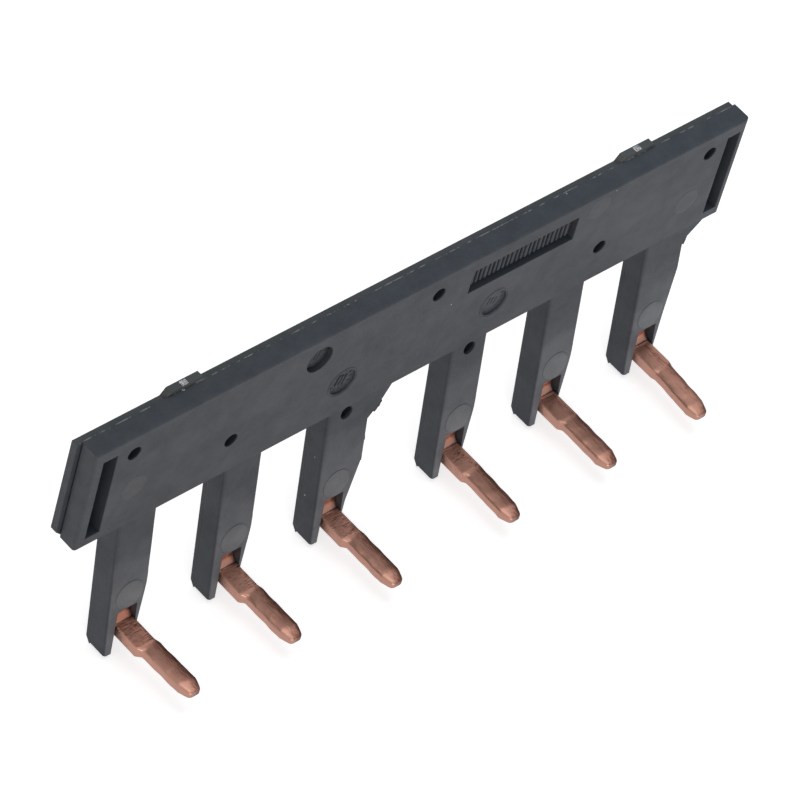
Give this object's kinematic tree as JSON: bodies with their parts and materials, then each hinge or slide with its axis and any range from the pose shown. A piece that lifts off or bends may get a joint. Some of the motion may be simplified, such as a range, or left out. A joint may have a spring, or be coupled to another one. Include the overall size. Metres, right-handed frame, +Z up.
{
  "type": "contactor connecting link",
  "caption": "Flat black plastic housing with leaning legs, each ending in a bent copper pin, that joins the poles of contactors standing side by side.",
  "frame": {"origin": "on the plate's flat rear face, halfway between the two middle pins and halfway up the plate", "axes": "+X along the plate, +Y out of the rear face (the pins point to -Y), +Z up, the legs hang to -Z"},
  "size_m": [0.0898, 0.0155, 0.0334],
  "materials": {
    "black_plastic": "matte, slightly grey",
    "copper": "bare, slightly tarnished"
  },
  "bodies": {
    "root": {"front_shell": "black_plastic", "rear_cover": "black_plastic", "link_outer": "copper", "link_middle": "copper", "link_inner": "copper"}
  },
  "joints": []
}
